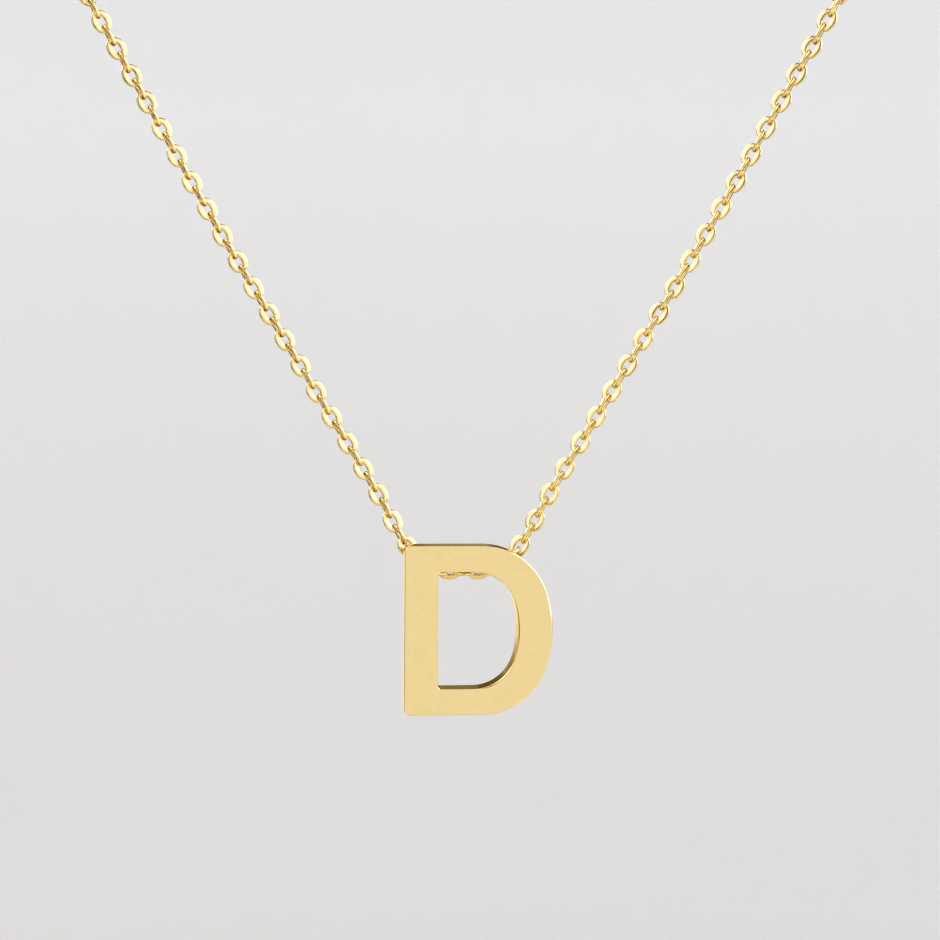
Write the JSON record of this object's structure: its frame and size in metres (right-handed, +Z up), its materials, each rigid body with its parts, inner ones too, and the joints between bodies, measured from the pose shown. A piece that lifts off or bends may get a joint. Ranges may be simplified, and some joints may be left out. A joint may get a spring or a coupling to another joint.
{
  "type": "initial pendant necklace",
  "caption": "Flat gold letter D pendant whose two back loops slide and swing on a fine cable chain, a whole necklace closed by a ring clasp at the nape.",
  "frame": {"origin": "at the nape of the neck, in the middle of the clasp", "axes": "+Z up, -Y the way the wearer faces, +X to the right as seen from the front, which is the wearer's left"},
  "size_m": [0.1184, 0.0974, 0.109],
  "materials": {
    "letter_gold": "polished 14 carat yellow gold",
    "chain_gold": "polished 14 carat yellow gold",
    "clasp_gold": "polished 14 carat yellow gold"
  },
  "bodies": {
    "necklace": {"chain": "chain_gold", "clasp": "clasp_gold"},
    "letter": {"letter": "letter_gold"}
  },
  "joints": [
    {"name": "letter_swing", "type": "hinge", "parent": "necklace", "child": "letter", "pos_m": [0, -0.094, -0.0974], "axis": [0.9947, 0.1028, 0], "range_deg": [-12, 50]}
  ]
}
